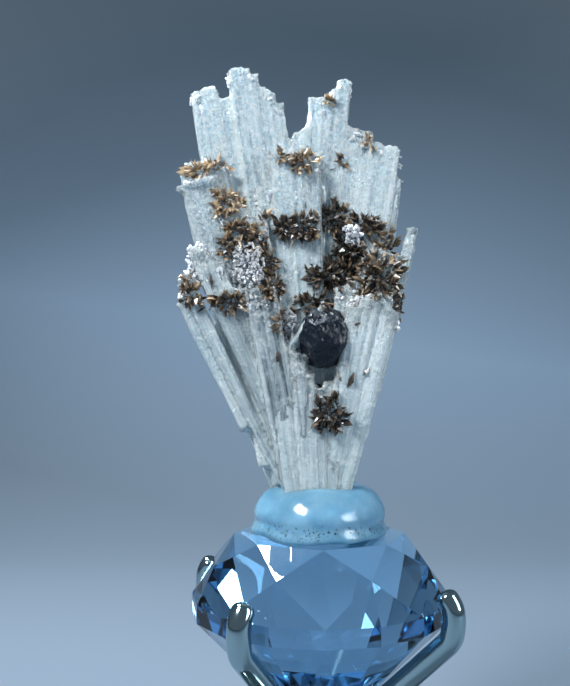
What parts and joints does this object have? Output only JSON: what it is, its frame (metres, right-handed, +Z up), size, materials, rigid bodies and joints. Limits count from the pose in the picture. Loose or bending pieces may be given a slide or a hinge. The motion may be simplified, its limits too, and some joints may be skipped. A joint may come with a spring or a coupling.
{
  "type": "aragonite crystal cluster on a gem-shaped display stand",
  "caption": "Fan of upright white bladed aragonite crystals with small brown and black crystals, set in putty on a blue faceted glass gem held by metal prongs on a round foot.",
  "frame": {"origin": "centre of the foot's flat underside, on the axis of the stand", "axes": "+Z up along the stand's axis, which is the longest side, +X to the right as seen from the front, -Y towards the front, where the black crystal is"},
  "size_m": [0.0321, 0.0306, 0.0866],
  "materials": {
    "aragonite": "translucent bluish white, glassy, finely striated along the blades, sparkling where broken",
    "brown_mineral": "dark brown to golden, sharp small crystals with paler edges",
    "black_mineral": "blue-black, glossy on its front face and rough on its top face",
    "putty": "pale blue, slightly translucent, smooth, with dark specks in its fold",
    "blue_glass": "clear sky-blue glass, cut and polished",
    "polished_metal": "mirror polish"
  },
  "bodies": {
    "root": {"aragonite_crystals": "aragonite", "black_crystal": "black_mineral", "putty": "putty", "glass_gem": "blue_glass", "metal_foot": "polished_metal", "prong_front_left": "polished_metal", "prong_front_right": "polished_metal", "prong_back_right": "polished_metal", "prong_back_left": "polished_metal"}
  },
  "joints": []
}
